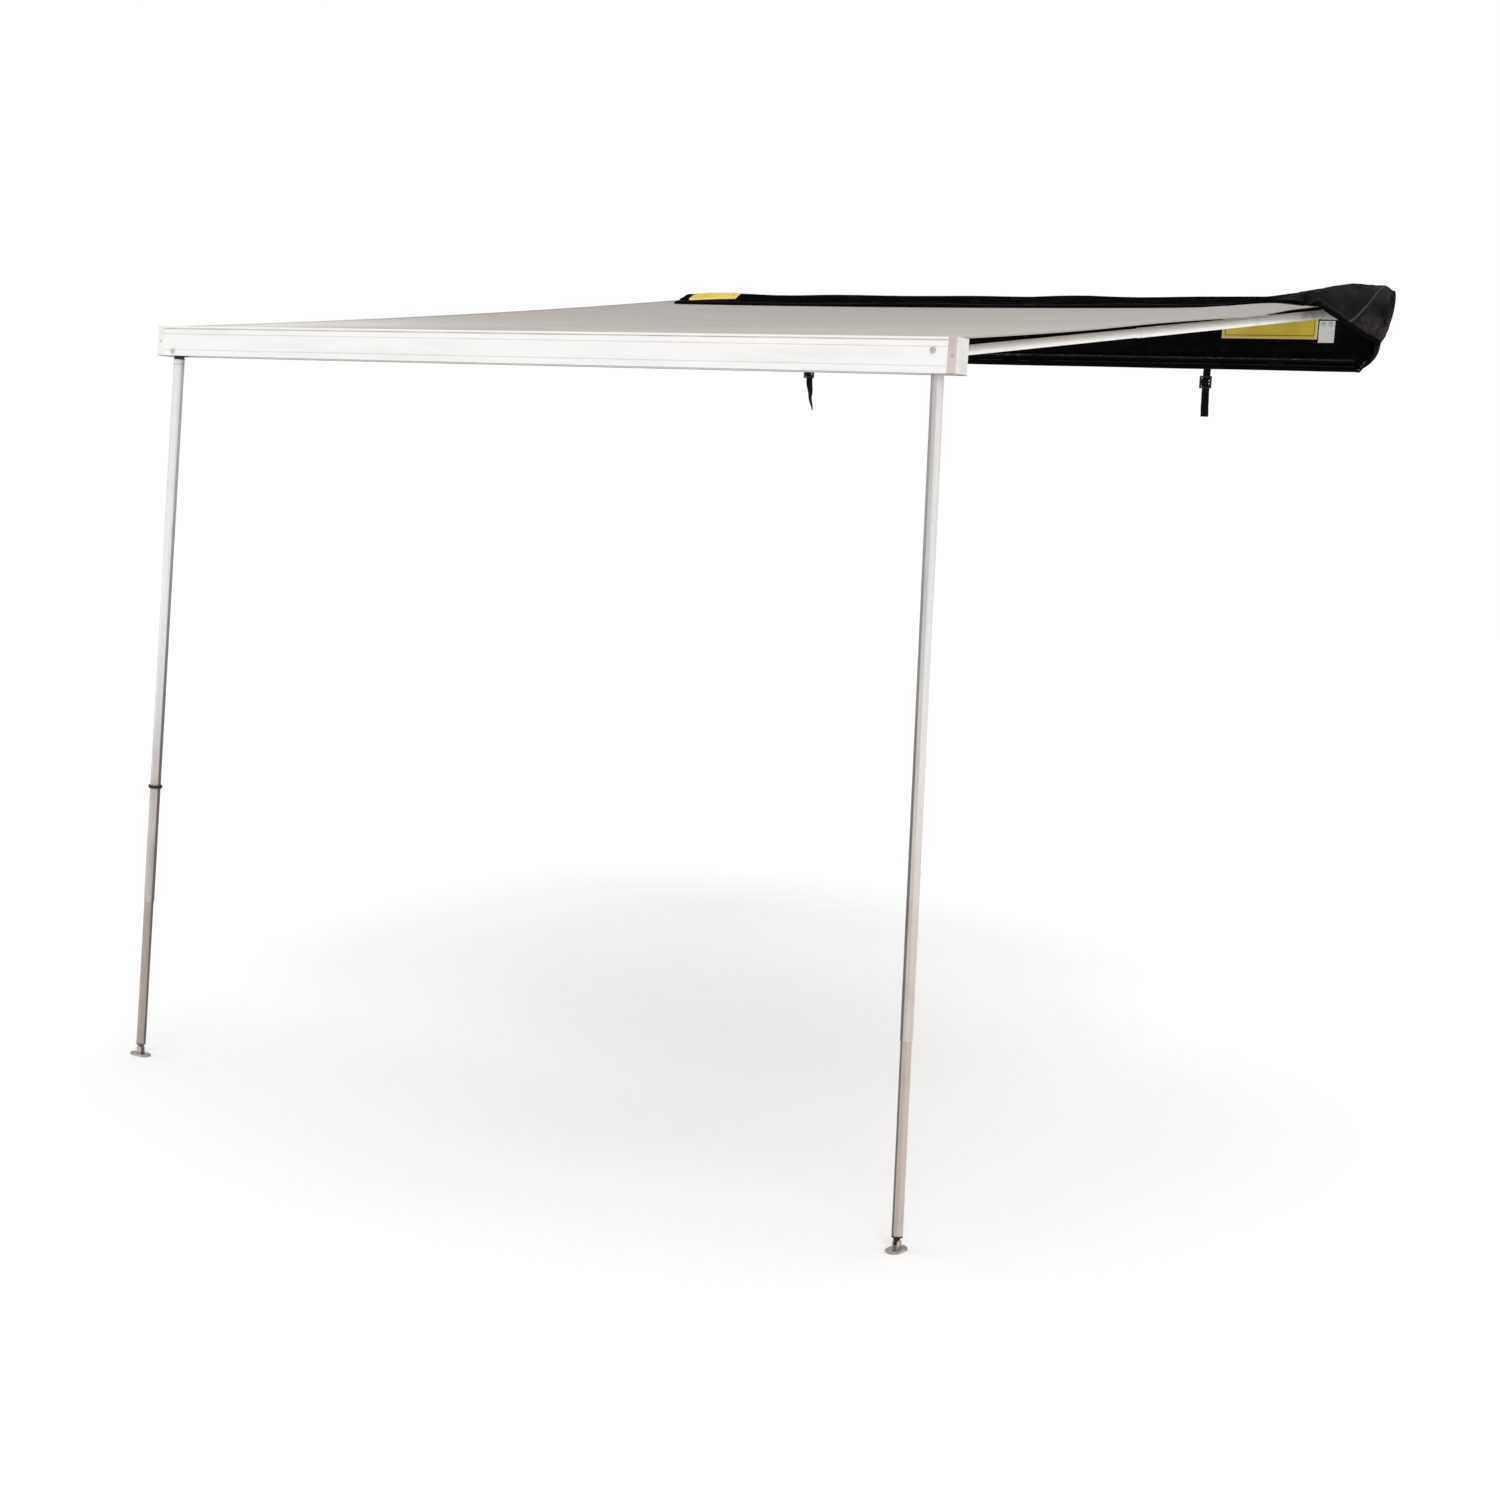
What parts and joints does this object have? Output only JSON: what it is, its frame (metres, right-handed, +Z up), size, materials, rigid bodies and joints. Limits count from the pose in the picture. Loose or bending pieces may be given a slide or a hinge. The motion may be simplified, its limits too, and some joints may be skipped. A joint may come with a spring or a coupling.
{
  "type": "vehicle side awning",
  "caption": "Pull-out side awning for a vehicle's roof rack: rail with soft bag, sloping canopy, telescopic rafter arms, channel-shaped front beam and folding legs.",
  "frame": {"origin": "middle of the mounting rail's flat rear face, half way along it and half way up it", "axes": "+X along the rail and the front beam, +Y out of the rail's rear face towards the vehicle, +Z up"},
  "size_m": [2.614, 2.5085, 2.4279],
  "materials": {
    "white_paint": "smooth white powder coat",
    "raw_aluminium": "satin extruded",
    "cap_plastic": "beige-grey moulded",
    "black_plastic": "fine moulded texture",
    "zinc_steel": "zinc plated",
    "foot_steel": "dark bronze coat",
    "canopy_cloth": "coated ripstop cloth",
    "bag_vinyl": "soft sheen coated fabric",
    "keder_rope": "sewn keder",
    "label_yellow": "smooth printed sheet, left blank",
    "tag_white": "soft sheet",
    "webbing_black": "woven webbing",
    "rubber_black": "matt"
  },
  "bodies": {
    "rail_and_bag": {"mounting_rail": "raw_aluminium", "canopy_rear_keder": "keder_rope", "hood_keder": "keder_rope", "flap_keder": "keder_rope", "canopy": "canopy_cloth", "bag_hood": "bag_vinyl", "bag_flap": "bag_vinyl", "bag_end_right": "bag_vinyl", "bag_end_left": "bag_vinyl", "label_panel": "label_yellow", "eyelet_tag": "tag_white", "flap_zip_tape": "webbing_black", "strap_webbing_right": "webbing_black", "strap_webbing_left": "webbing_black", "strap_buckle_right": "black_plastic", "strap_buckle_left": "black_plastic", "arm_bracket_right": "zinc_steel", "arm_bracket_left": "zinc_steel", "arm_hinge_pin_right": "zinc_steel", "arm_hinge_pin_left": "zinc_steel", "bracket_screw_right_inner": "zinc_steel", "bracket_screw_right_outer": "zinc_steel", "bracket_screw_left_inner": "zinc_steel", "bracket_screw_left_outer": "zinc_steel"},
    "front_beam": {"front_beam": "white_paint", "canopy_front_keder": "keder_rope", "end_cap_right": "cap_plastic", "end_cap_left": "cap_plastic", "cap_rivet_right": "zinc_steel", "cap_rivet_left": "zinc_steel", "leg_pivot_bolt_right": "zinc_steel", "leg_pivot_nut_right": "zinc_steel", "leg_pivot_bolt_left": "zinc_steel", "leg_pivot_nut_left": "zinc_steel", "arm_saddle_right": "zinc_steel", "arm_saddle_left": "zinc_steel"},
    "arm_right_outer": {"arm_hinge_plug_right": "black_plastic", "arm_outer_tube_right": "raw_aluminium"},
    "arm_right_inner": {"arm_inner_tube_right": "raw_aluminium", "arm_lock_cam_right": "black_plastic", "arm_hook_right": "black_plastic"},
    "leg_right_outer": {"leg_top_plug_right": "black_plastic", "leg_outer_tube_right": "raw_aluminium"},
    "leg_right_cam": {"leg_lock_cam_right": "black_plastic"},
    "leg_right_inner": {"leg_inner_tube_right": "raw_aluminium", "leg_end_plug_right": "black_plastic"},
    "foot_right": {"foot_right": "foot_steel"},
    "arm_left_outer": {"arm_hinge_plug_left": "black_plastic", "arm_outer_tube_left": "raw_aluminium"},
    "arm_left_inner": {"arm_inner_tube_left": "raw_aluminium", "arm_lock_cam_left": "black_plastic", "arm_hook_left": "black_plastic"},
    "leg_left_outer": {"leg_top_plug_left": "black_plastic", "leg_outer_tube_left": "raw_aluminium", "leg_rubber_ring_left": "rubber_black"},
    "leg_left_cam": {"leg_lock_cam_left": "black_plastic"},
    "leg_left_inner": {"leg_inner_tube_left": "raw_aluminium", "leg_end_plug_left": "black_plastic"},
    "foot_left": {"foot_left": "foot_steel"}
  },
  "joints": [
    {"name": "beam_slide", "type": "slide", "parent": "rail_and_bag", "child": "front_beam", "axis": [0, 0.9905, 0.1374], "range_m": [0, 0.95], "deforming": ["canopy"]},
    {"name": "arm_right_swing", "type": "hinge", "parent": "rail_and_bag", "child": "arm_right_outer", "pos_m": [1.16, -0.038, 0.00022], "axis": [0, 0.1374, -0.9905], "range_deg": [0, 90]},
    {"name": "arm_right_telescope", "type": "slide", "parent": "arm_right_outer", "child": "arm_right_inner", "axis": [0, 0.9905, 0.1374], "range_m": [0, 0.95]},
    {"name": "leg_right_fold", "type": "hinge", "parent": "front_beam", "child": "leg_right_outer", "pos_m": [1.19, -2.475, -0.33047], "axis": [0, 1, 0], "range_deg": [0, 91.5]},
    {"name": "leg_right_extend", "type": "slide", "parent": "leg_right_outer", "child": "leg_right_cam", "axis": [-0.0262, 0, 0.9997], "range_m": [-0.18, 0.38]},
    {"name": "leg_right_twist_lock", "type": "hinge", "parent": "leg_right_cam", "child": "leg_right_inner", "pos_m": [1.19, -2.475, -0.33047], "axis": [-0.0262, 0, 0.9997], "range_deg": [-60, 0]},
    {"name": "foot_right_tilt", "type": "hinge", "parent": "leg_right_inner", "child": "foot_right", "pos_m": [1.24214, -2.475, -2.32147], "axis": [1, 0, 0], "range_deg": [0, 90]},
    {"name": "arm_left_swing", "type": "hinge", "parent": "rail_and_bag", "child": "arm_left_outer", "pos_m": [-1.16, -0.038, -0.02877], "axis": [0, -0.1374, 0.9905], "range_deg": [0, 90]},
    {"name": "arm_left_telescope", "type": "slide", "parent": "arm_left_outer", "child": "arm_left_inner", "axis": [0, 0.9905, 0.1374], "range_m": [0, 0.95]},
    {"name": "leg_left_fold", "type": "hinge", "parent": "front_beam", "child": "leg_left_outer", "pos_m": [-1.19, -2.475, -0.36847], "axis": [0, -1, 0], "range_deg": [0, 91.5]},
    {"name": "leg_left_extend", "type": "slide", "parent": "leg_left_outer", "child": "leg_left_cam", "axis": [0.0262, 0, 0.9997], "range_m": [-0.18, 0.38]},
    {"name": "leg_left_twist_lock", "type": "hinge", "parent": "leg_left_cam", "child": "leg_left_inner", "pos_m": [-1.19, -2.475, -0.36847], "axis": [0.0262, 0, 0.9997], "range_deg": [-60, 0]},
    {"name": "foot_left_tilt", "type": "hinge", "parent": "leg_left_inner", "child": "foot_left", "pos_m": [-1.24114, -2.475, -2.32147], "axis": [0, 1, 0], "range_deg": [0, 90]}
  ],
  "couplings": [
    {"joint": "arm_right_telescope", "follows": "beam_slide", "ratio": 1},
    {"joint": "foot_right_tilt", "follows": "leg_right_fold", "ratio": 0.98361},
    {"joint": "arm_left_telescope", "follows": "beam_slide", "ratio": 1},
    {"joint": "foot_left_tilt", "follows": "leg_left_fold", "ratio": 0.98361}
  ]
}
